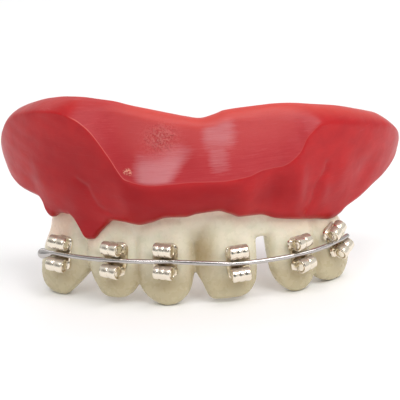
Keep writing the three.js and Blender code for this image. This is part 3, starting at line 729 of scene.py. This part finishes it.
def bar_profile(lobes):
    """Half the side of a bar, from the middle of an end face outwards: a slightly domed disc, a ring round
    it, a rounded rim, and crowned lobes with shallow grooves between. Radius and place along the bar."""
    half, radius = BAR_LENGTH / 2, BAR_DIAMETER / 2
    disc = [(0.02, half + 0.04), (radius * 0.25, half + 0.035), (radius * 0.45, half + 0.01),
            (radius * 0.58, half - 0.03)]
    ring = [(radius * 0.63, half - 0.14), (radius * 0.7, half - 0.14), (radius * 0.75, half - 0.03)]
    rim = [(radius * 0.82, half), (radius * 0.9, half - 0.04), (radius * 0.96, half - 0.11)]
    along = (half - 0.2) * (1 - np.linspace(0, 1, LOBE_RINGS))
    share = along / half * lobes / 2 + (0.5 if lobes % 2 else 0)
    off = share - np.floor(share) - 0.5
    groove = GROOVE_DEPTH * np.exp(-(((0.5 - np.abs(off)) / GROOVE_WIDTH) ** 2))
    lobe = radius * (1 - LOBE_FALL / lobes**1.5 * (2 * off) ** 2) - groove
    return disc + ring + rim + list(zip(lobe, along))


def round_bar(lobes):
    """A bar along x: its half profile, mirrored, turned round the axis."""
    half = bar_profile(lobes)
    radius, along = np.array(half + [(r, -x) for r, x in half[-2::-1]]).T
    y, z = (radius[:, None] * wave for wave in circle(BAR_POINTS))
    return np.stack([along[:, None] + 0 * y, y, z], -1)


def tooth_at(angle):
    return min(TEETH, key=lambda place: abs(place["angle"] - angle))


def tooth_face(place, points):
    """Points slid along their tooth's depth on to its front: the superellipse's depth at their place across
    the tooth, between the section's front and back, with the lean."""
    matrix = arch_frame(place["angle"], place["turn"], 0, 0)
    local = move(points, np.linalg.inv(matrix))
    left, right, front, back, lean = tooth_section(place, local[..., 2] / TOOTH_HEIGHT)
    across = np.clip(np.abs(2 * local[..., 0] - left - right) / (right - left), 0, 0.98)
    deep = (1 - across**TOOTH_SQUARENESS) ** (1 / TOOTH_SQUARENESS)
    local[..., 1] = -(front + back) / 2 - (front - back) / 2 * deep - lean
    return local, matrix


def curved_pad(name, place, matrix):
    """A thin pad that follows its tooth: rings of a superellipse, laid on the face of the tooth, and raised
    by a profile of scale and height that rounds the pad's edge."""
    flat = [(scale, PAD_RISE) for scale in (0.02, 0.2, 0.38, 0.55, 0.7, 0.8)]
    edge = [(0.87, PAD_RISE - 0.01), (0.92, PAD_RISE - 0.03), (0.96, PAD_RISE - 0.08),
            (0.985, PAD_RISE - 0.14), (1.0, PAD_RISE - 0.24), (1.0, -0.5), (0.5, -0.6), (0.02, -0.6)]
    scale, rise = np.array(flat + edge).T
    across, high = superellipse(PAD_POINTS, PAD_SQUARENESS)
    x = across * PAD_WIDTH / 2 * place["pad"] * scale[:, None]
    z = high * PAD_HEIGHT / 2 * scale[:, None]
    rings = move(np.stack([x, 0 * x, z], -1), matrix)
    local, tooth_matrix = tooth_face(tooth_at(place["angle"]), rings)
    local[..., 1] -= rise[:, None]
    return ring_body(name, move(local, tooth_matrix))


def wire_up(angle):
    return TOOTH_HEIGHT * read(WIRE, "angle", "up", angle)


def tooth_lean(angle):
    return tooth_at(angle)["lean"]


def wire_out(angle):
    """How far out a bracket holds the wire: its seat on the tooth plus how far the tooth leans there."""
    lean = np.tan(np.radians(tooth_lean(angle)))
    return WIRE_OUT + lean * (LEAN_PIVOT * TOOTH_HEIGHT - wire_up(angle))


def bracket_place(place):
    """The matrix of a bracket, whose middle is the wire's, and which leans as its tooth does."""
    angle = place["angle"]
    matrix = arch_frame(angle, place["turn"], wire_out(angle), wire_up(angle))
    return matrix @ turned(-tooth_lean(angle), "X") @ turned(-place["tilt"], "Y")


def bracket(name, place, tooth_space):
    """A bracket: a pad curved to its tooth, a waisted post for each bar, and the two bars, all one solid."""
    matrix = bracket_place(place)
    face = WIRE_OUT - PAD_RISE
    piece = curved_pad(name, place, matrix)
    post_profile = [(0.02, -BAR_AHEAD), (0.96, -BAR_AHEAD), (0.94, face - 0.75), (0.95, face - 0.5),
                    (1.02, face - 0.25), (1.16, face - 0.07), (1.4, face + 0.04), (1.45, face + 0.3),
                    (0.02, face + 0.3)]
    for side in (-1, 1):
        height = side * BAR_SPACING / 2
        post = post_body(post_profile)
        set_points(post, move(points_of(post) + [0, 0, height * 0.96], matrix))
        combine(piece, post, "UNION")
        bar = ring_body("bar", move(round_bar(place["lobes"]) + [0, -BAR_AHEAD, height], matrix))
        combine(piece, bar, "UNION")
    combine(piece, tooth_space, "DIFFERENCE", keep_tool=True)
    return piece


def carried_circle(name, route, radius):
    """A circle carried along a route, whose radius is given at each point, with a fan at each end."""
    tangent = np.gradient(route, axis=0)
    tangent /= np.linalg.norm(tangent, axis=1, keepdims=True)
    side = np.cross(tangent, [0.3, 1.0, 0.2])
    side /= np.linalg.norm(side, axis=1, keepdims=True)
    over = np.cross(side, tangent)
    cos, sin = circle(WIRE_POINTS)
    ring = side[:, None] * cos[:, None] + over[:, None] * sin[:, None]
    return ring_body(name, route[:, None] + ring * radius[:, None, None])


def archwire():
    """The wire: its route through the brackets, with a half round right end. Its left end is a blob, which is
    half a ball at the end and then thins out to the wire as a bell does."""
    radius = WIRE_DIAMETER / 2
    run = np.linspace(WIRE_LEFT_ANGLE, WIRE_RIGHT_ANGLE, WIRE_SAMPLES)
    seats = {"angle": [p["angle"] for p in BRACKETS], "out": [wire_out(p["angle"]) for p in BRACKETS]}
    route = arch_point(run, read(seats, "angle", "out", run), wire_up(run))
    length = np.concatenate([[0], np.cumsum(np.linalg.norm(np.diff(route, axis=0), axis=1))])
    turn = np.linspace(0.08, 1, 12) * np.pi / 2
    start = WIRE_BALL * (1 - np.cos(turn))
    end = length[-1] - radius * (1 - np.cos(turn[:-1]))[::-1]
    at = np.concatenate([start, np.linspace(start[-1], end[0], WIRE_RINGS)[1:-1], end])
    blob = radius + (WIRE_BALL - radius) * np.exp(-(((at - WIRE_BALL) / WIRE_BALL_REACH) ** 2))
    ball = np.sqrt(np.maximum(WIRE_BALL**2 - (at - WIRE_BALL) ** 2, 0))
    cap = np.sqrt(np.maximum(radius**2 - (at - length[-1] + radius) ** 2, 0))
    body = np.where(at < WIRE_BALL, ball, np.where(at > length[-1] - radius, cap, blob))
    route = np.stack([np.interp(at, length, route[:, k]) for k in range(3)], -1)
    return carried_circle("archwire_drawn", route, body)


class Nodes:
    """A short way to write the node tree of a material or a world."""

    def __init__(self, owner, shader="Principled BSDF"):
        owner.use_nodes = True
        self.owner = owner
        self.tree = owner.node_tree
        self.shader = self.tree.nodes[shader]

    def add(self, kind, inputs=None, **settings):
        node = self.tree.nodes.new(kind)
        for key, value in settings.items():
            setattr(node, key, value)
        for key, value in (inputs or {}).items():
            self.feed(node.inputs[key], value)
        return node

    def feed(self, socket, value):
        if isinstance(value, bpy.types.NodeSocket):
            self.tree.links.new(value, socket)
        else:
            socket.default_value = value

    def shade(self, inputs):
        """Feeds the shader's sockets by name."""
        for key, value in inputs.items():
            self.feed(self.shader.inputs[key], value)
        return self.owner

    def values_of(self, *names):
        return [self.add("ShaderNodeAttribute", attribute_name=name).outputs["Fac"] for name in names]

    def vector_of(self, name):
        return self.add("ShaderNodeAttribute", attribute_name=name).outputs["Vector"]

    def mix(self, share, first, second):
        inputs = {0: share, 6: first, 7: second}
        return self.add("ShaderNodeMix", inputs, data_type="RGBA").outputs[2]

    def math(self, operation, first, second=0.0):
        return self.add("ShaderNodeMath", {0: first, 1: second}, operation=operation).outputs[0]

    def times(self, first, second):
        return self.math("MULTIPLY", first, second)

    def over(self, base, much, share, colour):
        """A colour laid over another, by a share of how much there is of it."""
        return self.mix(self.times(much, share), base, srgb(*colour))

    def ramp(self, value, low, high, low_out=0.0, high_out=1.0, **settings):
        inputs = {"Value": value, "From Min": low, "From Max": high, "To Min": low_out, "To Max": high_out}
        return self.add("ShaderNodeMapRange", inputs, **settings).outputs[0]

    def noise(self, vector, scale, detail=3.0, rough=0.5):
        inputs = {"Vector": vector, "Scale": scale, "Detail": detail, "Roughness": rough}
        return self.add("ShaderNodeTexNoise", inputs).outputs["Fac"]

    def stretched(self, vector, scale):
        return self.add("ShaderNodeMapping", {"Vector": vector, "Scale": scale}).outputs["Vector"]

    def bump(self, height, distance, strength, under=None):
        inputs = {"Height": height, "Distance": distance, "Strength": strength}
        if under is not None:
            inputs["Normal"] = under
        return self.add("ShaderNodeBump", inputs).outputs["Normal"]


def srgb(red, green, blue):
    """A colour given in the 0 to 255 of a picture, as the linear values that shaders use."""
    share = np.array([red, green, blue]) / 255
    linear = np.where(share <= 0.04045, share / 12.92, ((share + 0.055) / 1.055) ** 2.4)
    return (*linear.tolist(), 1.0)


def gum_material():
    """Polished red acrylic. Its panel is ground, paler and scratched, with a painted highlight in ragged pale
    patches and along the crease, and painted light high up where it faces the lights. Painted shade darkens
    the hollows, the band below the crease and the lower lip, and the top rim has a painted glow of light.
    It is rough and pale where it is pitted or gritty."""
    n = Nodes(bpy.data.materials.new("red_acrylic"))
    spot = n.vector_of("arch_mm")
    above, ground, high, pale, deep = n.values_of("above_crease", "ground", "high", "pale", "deep")
    thin, line, lip, pitted, crumb = n.values_of("thin", "line", "lip", "pitted", "crumb")
    panel = n.times(n.ramp(above, -0.06, 0.12), ground)
    # how near the crease a point is, for the painted highlight along it
    crest = n.ramp(n.math("ABSOLUTE", n.math("SUBTRACT", above, 0.06)), 0.02, 0.11, 1.0, 0.0)
    scratch = n.noise(n.stretched(spot, (0.3, 1.0, 6.0)), 1.0, 5.0, 0.75)
    # the pale patches are a painted highlight, the sheen of soft lights, frayed by the scratches
    ragged = n.math("ADD", pale, n.times(n.math("SUBTRACT", scratch, 0.5), 1.3))
    cloud = n.ramp(n.noise(spot, 0.35, 4.0, 0.6), 0.35, 0.65)
    crumbs = n.ramp(n.noise(spot, 3.2, 2.0, 0.7), 0.42, 0.6)
    grit = n.times(n.ramp(n.noise(spot, 5.0, 2.0), 0.45, 0.6), n.ramp(crumb, 0.2, 0.8))
    red = n.mix(cloud, srgb(170, 16, 24), srgb(184, 26, 30))
    red = n.mix(panel, red, n.mix(n.ramp(scratch, 0.35, 0.65), srgb(172, 44, 50), srgb(180, 54, 59)))
    layers = [
        # painted light: a lighter red high on the panel, where it faces up to the lights
        (high, 0.8, (188, 70, 70)),
        # painted highlight: the pale sheen of soft lights on the panel
        (n.ramp(ragged, 0.12, 1.0), 0.95, (196, 120, 124)),
        # painted shade: a darker red in the hollows, below the crease and on patches of the panel
        (deep, 0.7, (144, 8, 18)),
        # painted shade: a darker red along the lower lip, which rolls under
        (lip, 0.5, (150, 12, 8)),
        # painted light: an orange glow along the top rim, as of light shining through the edge, weaker on the
        # left
        (thin, 0.6, (208, 74, 62)),
        # painted highlight: a pale streak along the crease
        (n.times(crest, line), 0.5, (230, 140, 130)),
        (n.times(pitted, crumbs), 0.55, (214, 130, 124)),
        (grit, 1.0, (232, 176, 150)),
    ]
    for much, share, colour in layers:
        red = n.over(red, much, share, colour)
    polish = n.ramp(n.noise(spot, 0.8), 0.3, 0.7, 0.3, 0.38)
    matt = n.ramp(scratch, 0.3, 0.7, 0.36, 0.5)
    relief_bump = n.bump(n.times(scratch, panel), 0.00005, 0.8)
    relief_bump = n.bump(n.times(crumbs, pitted), 0.00012, 1.0, relief_bump)
    return n.shade({
        "Base Color": red,
        "Roughness": n.add("ShaderNodeMix", {"Factor": panel, "A": polish, "B": matt}).outputs[0],
        "Normal": n.bump(n.noise(spot, 0.7, 3.0), 0.00006, 0.8, relief_bump),
        "Subsurface Weight": 0.3,
        "Subsurface Radius": (1.0, 0.22, 0.14),
        "Subsurface Scale": 0.0016,
        "IOR": 1.45,
        # less specular where the shade is painted
        "Specular IOR Level": n.ramp(deep, 0, 1, 0.36, 0.22),
    })


def tooth_material():
    """Ivory acrylic, darker towards the tips, brown in its stains and in painted shade under the brackets and
    the wire and between the teeth, and pinker at the necks.
    """
    n = Nodes(bpy.data.materials.new("ivory_acrylic"))
    spot = n.vector_of("arch_mm")
    low, stain, neck = n.values_of("low", "stain", "neck")
    cloud = n.ramp(n.noise(spot, 0.4, 4.0, 0.6), 0.35, 0.65)
    ivory = n.mix(cloud, srgb(228, 225, 200), srgb(240, 231, 209))
    for much, share, colour in [
        (low, 1.0, (194, 182, 149)),
        (neck, 0.85, (240, 212, 190)),
        # brown: partly stains, partly painted shade under the brackets and wire and between the teeth
        (stain, 0.85, (164, 142, 98)),
    ]:
        ivory = n.over(ivory, much, share, colour)
    ripple = n.noise(n.stretched(spot, (1.4, 1.4, 0.35)), 1.0, 2.0)
    return n.shade({
        "Base Color": ivory,
        "Roughness": n.ramp(n.noise(spot, 0.9), 0.3, 0.7, 0.22, 0.34),
        "Normal": n.bump(ripple, 0.00008, 0.6),
        "Subsurface Weight": 0.25,
        "Subsurface Radius": (1.0, 0.8, 0.5),
        "Subsurface Scale": 0.001,
        "IOR": 1.5,
    })


def bracket_material():
    """Bright cast metal, uneven from tumbling, with painted shade and a painted golden reflection of the teeth,
    olive, in its recesses, and painted shade and reflection, brown and less metallic, where it faces up under
    the gum."""
    n = Nodes(bpy.data.materials.new("bright_metal"))
    spot = n.add("ShaderNodeTexCoord").outputs["Object"]
    patch = n.noise(spot, 900.0, 3.0)
    dull, on_top = n.values_of("dull", "on_top")
    # painted shade and a painted golden reflection of the teeth, olive, for the recesses
    olive = n.mix(n.ramp(n.noise(spot, 1600.0, 2.0), 0.4, 0.6), srgb(150, 128, 88), srgb(222, 206, 168))
    metal = n.mix(n.times(dull, 0.8), n.mix(patch, srgb(228, 217, 198), srgb(242, 233, 218)), olive)
    return n.shade({
        # painted shade and reflection, brown and less metallic, where the metal faces up under the gum
        "Base Color": n.over(metal, on_top, 0.8, (150, 128, 110)),
        "Roughness": n.math("ADD", n.ramp(patch, 0.3, 0.7, 0.17, 0.26), n.times(dull, 0.12)),
        "Normal": n.bump(n.noise(spot, 1500.0, 2.0), 0.00003, 0.6),
        "Metallic": n.ramp(on_top, 0, 1, 1.0, 0.3),
    })


def wire_material():
    """Drawn steel, with fine lines along the wire."""
    n = Nodes(bpy.data.materials.new("drawn_steel"))
    lines = n.noise(n.stretched(n.vector_of("arch_mm"), (0.4, 7.0, 7.0)), 1.0, 3.0)
    return n.shade({
        "Base Color": n.mix(lines, srgb(174, 170, 168), srgb(202, 197, 194)),
        "Roughness": n.ramp(lines, 0.3, 0.7, 0.12, 0.2),
        "Normal": n.bump(lines, 0.00001, 0.6),
        "Metallic": 1.0,
    })


def arch_attribute(piece, place):
    """Stores along, out and up in millimetres, which the patterns follow."""
    angle, out, up = place
    store(piece, arch_mm=np.stack([arc_length(angle), out, up], -1))


def bell(angle, up, at_angle, at_up, wide, high):
    """A bell over a place on the arch, with its width in mm along the arch and its height in mm."""
    across = (arc_length(angle) - arc_length(at_angle)) / wide
    return np.exp(-(across**2) - ((up - at_up) / high) ** 2)


def patches(angle, up, rows):
    """The sum of bells, each with its place, width, height and strength."""
    return sum(much * bell(angle, up, *place) for *place, much in rows)


def dress_gum(piece):
    """The height above the crease, where the gum is ground, and where it gets painted light high on its panel,
    a painted highlight in pale patches and along its crease, painted shade, a painted glow at the top rim and
    painted shade low at its lip, and where it is pitted or gritty."""
    angle, out, up = arch_place(points_of(piece))
    rows = gum_rows(angle)
    above, from_top = up - rows["crease"], rows["top"] - up
    face = smooth_step(-1.9, -1.0, out - gum_face(up, rows, 0.3))
    ground = window(angle, -37, -33, 33, 40) * face
    panel = smooth_step(0, 0.5, above)

    # The pale patches: a painted highlight, the sheen of soft lights on the panel, left and right of the middle
    slant = -7.6 + 1.5 * above
    left = smooth_step(-19, -14.4, angle) * smooth_step(slant + 2.6, slant - 2.6, angle)
    left = left * smooth_step(5.4, 2.2, above)
    upper = window(angle, 0.6, 4.6, 9.4, 14) * smooth_step(3.2, 5.8, above) * smooth_step(0.1, 1.6, from_top)
    lower = window(angle, 2.4, 5.4, 7.4, 11) * window(above, 0.3, 2.6, 4.2, 7.0)
    pale = left + 0.4 * bell(angle, up, -5.0, 24.6, 2.4, 1.2) + 0.75 * np.maximum(upper, 0.75 * lower)

    # Painted shade: a darker red below the crease, in the hollows and on patches of the panel
    band = smooth_step(0.3, -1.2, above) * window(angle, -24, -17, 8, 15)
    deep = 0.75 * band + patches(angle, up, DEEP) + patches(angle, up, DEEP_ON_PANEL) * panel
    deep = deep + patches(angle, up, DEEP_BELOW) * smooth_step(0.2, -0.5, above)
    # A painted highlight along the crease, strongest on its left
    line = 0.22 + 0.78 * window(angle, -42, -35, -22, -17)
    crumb = bell(angle, up, CRUMBS["angle"], CRUMBS["up"], 0.75, 0.65)
    pitted = bell(angle, up, np.mean(PITS["angle"]), np.mean(PITS["up"]), 2.0, 1.7)

    arch_attribute(piece, (angle, out, up))
    store(
        piece,
        above_crease=np.clip(above, -3, 3),
        # painted light high on the panel, where it faces up
        high=smooth_step(1.5, 6.5, above) * smooth_step(-30, -16, angle) * ground,
        ground=ground,
        # painted highlight in pale patches
        pale=np.clip(pale, 0, 1) * panel * face,
        # painted shade
        deep=np.clip(deep, 0, 1) * face,
        # painted glow of light along the top rim, weaker on the left where less light falls
        thin=smooth_step(1.9, 0.1, from_top) * (0.3 + 0.7 * smooth_step(-30, -12, angle)),
        # painted highlight along the crease
        line=line * ground,
        # painted shade along the lower lip
        lip=smooth_step(1.7, 0.1, up - rows["low"]) * face,
        crumb=crumb * face * (0.5 + 3 * speckle(angle, up)).clip(0, 1),
        pitted=pitted * face,
    )


def dress_bracket(piece, place):
    """Where a bracket gets its painted shade and reflection: on its pad inside the rim, on the feet of its
    posts and in the ring of a bar's end, and where it faces up."""
    matrix = bracket_place(place)
    x, y, z = move(points_of(piece), np.linalg.inv(matrix)).T
    wide, high, power = PAD_WIDTH / 2 * place["pad"], PAD_HEIGHT / 2, PAD_SQUARENESS
    across = (np.abs(x / wide) ** power + np.abs(z / high) ** power) ** (1 / power)
    # the painted shade and reflection on the pad, in the recess behind the bars
    deep = smooth_step(0.35, 0.75, y) * smooth_step(1.0, 0.9, across)
    off_axis = np.hypot(y + BAR_AHEAD, np.abs(z) - BAR_SPACING / 2) / (BAR_DIAMETER / 2)
    # and in the ring groove round a bar's end
    ring = smooth_step(0.59, 0.63, off_axis) * smooth_step(0.76, 0.71, off_axis)
    ring = ring * smooth_step(BAR_LENGTH / 2 - 0.3, BAR_LENGTH / 2 - 0.2, np.abs(x))
    # where the metal faces up under the gum, for its painted shade and reflection
    on_top = smooth_step(0.72, 0.95, normals_of(piece)[:, 2])
    store(piece, dull=np.maximum(deep, ring), on_top=on_top)


def dress_teeth(piece):
    """Where the teeth are darker, brown with stains and painted shade, or pink."""
    angle, out, up = arch_place(points_of(piece))
    gum_line = TOOTH_HEIGHT * read(GUM_LINE, "angle", "low", angle)
    front = smooth_step(-3.4, -1.8, out)
    neck = smooth_step(2.4, 0.2, gum_line - up) * 0.7
    neck = neck + smooth_step(6.5, 9.0, up) * smooth_step(-43, -47, angle)
    arch_attribute(piece, (angle, out, up))
    store(
        piece,
        low=smooth_step(9.0, 2.5, up),
        # brown patches: stains, and painted shade under the brackets and wire and between the teeth
        stain=np.clip(patches(angle, up, STAINS), 0, 1) * front,
        neck=np.clip(neck, 0, 1),
    )


def looking(right, over, away, place):
    """The matrix of a light or a camera whose back is towards away, with its place in millimetres."""
    return Matrix([[right[k], over[k], away[k], place[k] * MM] for k in range(3)] + [[0, 0, 0, 1]])


def area_light(name, place, aim, size, watts):
    data = bpy.data.lights.new(name, "AREA")
    data.shape = "RECTANGLE"
    data.size, data.size_y = (s * MM for s in size)
    data.energy = watts
    away = np.array(place, float) - np.array(aim, float)
    away /= np.linalg.norm(away)
    right = np.cross([0, 0, 1.0], away)
    right /= np.linalg.norm(right)
    new_object(name, data).matrix_world = looking(right, np.cross(away, right), away, place)


def studio():
    """A pale floor under a pale sky, a large soft light and a long strip above, one behind that lights the
    floor there, and a small weak one at each side in front."""
    corners = [(-3, -3, 0), (3, -3, 0), (3, 3, 0), (-3, 3, 0)]
    floor = new_piece("floor", corners, [(0, 1, 2, 3)])
    n = Nodes(bpy.data.materials.new("pale_floor"))
    spot = n.add("ShaderNodeTexCoord").outputs["Object"]
    white = n.mix(n.noise(spot, 2.0), srgb(250, 250, 250), srgb(252, 252, 252))
    floor.data.materials.append(n.shade({"Base Color": white, "Roughness": 0.7}))
    bpy.context.scene.world = sky()
    for name, (place, aim, size, watts) in LIGHTS.items():
        area_light(name, place, aim, size, watts)


def sky():
    """A pale sky with dim spots low in front and at the left, which the metal shows as its dark dots."""
    n = Nodes(bpy.data.worlds.new("studio"), "Background")
    direction = n.add("ShaderNodeTexCoord").outputs["Generated"]
    strength = SKY
    for middle, start, darkest, share in DIM_SPOTS:
        facing = n.add("ShaderNodeVectorMath", {0: direction, 1: middle}, operation="DOT_PRODUCT")
        facing = facing.outputs["Value"]
        left_over = n.ramp(facing, start, darkest, 1.0, share, interpolation_type="SMOOTHSTEP")
        strength = n.times(left_over, strength)
    return n.shade({"Strength": strength, "Color": (1, 1, 1, 1)})


def camera(shift):
    """The camera, from its elevation, roll and distance about a target."""
    tilt, roll = np.radians(CAMERA_ELEVATION), np.radians(CAMERA_ROLL)
    ahead = np.array([0, np.cos(tilt), -np.sin(tilt)])
    level, upright = np.array([1.0, 0, 0]), np.array([0, np.sin(tilt), np.cos(tilt)])
    right = level * np.cos(roll) - upright * np.sin(roll)
    over = level * np.sin(roll) + upright * np.cos(roll)
    aim = np.array(CAMERA_TARGET) + AIM_RIGHT * right + AIM_UP * over + shift
    data = bpy.data.cameras.new("camera")
    data.sensor_width = SENSOR_WIDTH
    data.lens = FOCAL_PIXELS / IMAGE_WIDTH * SENSOR_WIDTH
    data.clip_start = 0.01
    data.clip_end = 20
    eye = new_object("camera", data)
    eye.matrix_world = looking(right, over, -ahead, aim - ahead * CAMERA_DISTANCE)
    bpy.context.scene.camera = eye


def settle(piece, shift, node):
    """Moves a piece from the arch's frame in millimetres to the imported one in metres, in its node's place."""
    set_points(piece, (points_of(piece) + shift) * MM)
    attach(piece, "root")
    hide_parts(node)


strip = tooth_strip()
tooth_space = grown(strip, CUT_GAP)
gum = gum_wall()
gum.name = "gum_casting"
combine(gum, trough(), "UNION")
combine(gum, tooth_space, "DIFFERENCE", keep_tool=True)
strip.name = "teeth_fused"
braces = [bracket(f"bracket_cast_{k + 1}", place, tooth_space) for k, place in enumerate(BRACKETS)]
bpy.data.objects.remove(tooth_space)
wire = archwire()

dress_gum(gum)
dress_teeth(strip)
arch_attribute(wire, arch_place(points_of(wire)))
finish(gum, gum_material())
finish(strip, tooth_material())
finish(wire, wire_material())
metal = bracket_material()
for brace, place in zip(braces, BRACKETS):
    dress_bracket(brace, place)
    finish(brace, metal, 30)

shift = np.array(PACKED_FROM_ARCH)
settle(gum, shift, "gum_base")
settle(strip, shift, "tooth_strip")
settle(wire, shift, "archwire")
for k, brace in enumerate(braces):
    settle(brace, shift, f"bracket_{k + 1}")

studio()
camera(shift)
bpy.context.scene.view_settings.view_transform = "Standard"
